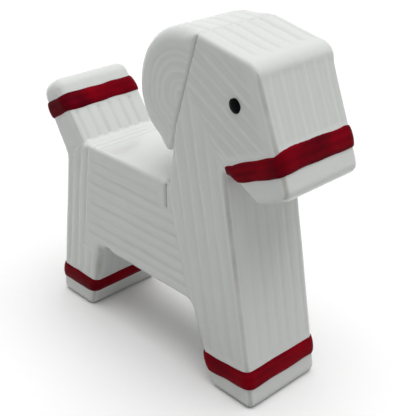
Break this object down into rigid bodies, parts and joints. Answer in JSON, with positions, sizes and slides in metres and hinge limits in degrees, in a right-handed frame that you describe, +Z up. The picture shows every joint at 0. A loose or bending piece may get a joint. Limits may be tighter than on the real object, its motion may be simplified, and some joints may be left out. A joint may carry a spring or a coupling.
{
  "type": "yule goat figurine",
  "caption": "Standing glazed ceramic yule goat with moulded straw relief, a coiled horn, raised red bands on muzzle, legs and tail, and black dot eyes.",
  "frame": {"origin": "on the floor, under the middle of the goat's length and width", "axes": "+X the way the goat faces, +Y to its left, +Z up"},
  "size_m": [0.1684, 0.0482, 0.1718],
  "materials": {
    "white_glaze": "glossy white glaze over stoneware",
    "red_glaze": "thick glossy crimson glaze",
    "black_glaze": "thick glossy black glaze"
  },
  "bodies": {
    "root": {"hindquarters": "white_glaze", "trunk": "white_glaze", "forequarters": "white_glaze", "head": "white_glaze", "horn": "white_glaze", "tail": "white_glaze", "front_leg_band": "red_glaze", "hind_leg_band": "red_glaze", "muzzle_band": "red_glaze", "tail_band": "red_glaze", "eye_left": "black_glaze", "eye_right": "black_glaze"}
  },
  "joints": []
}
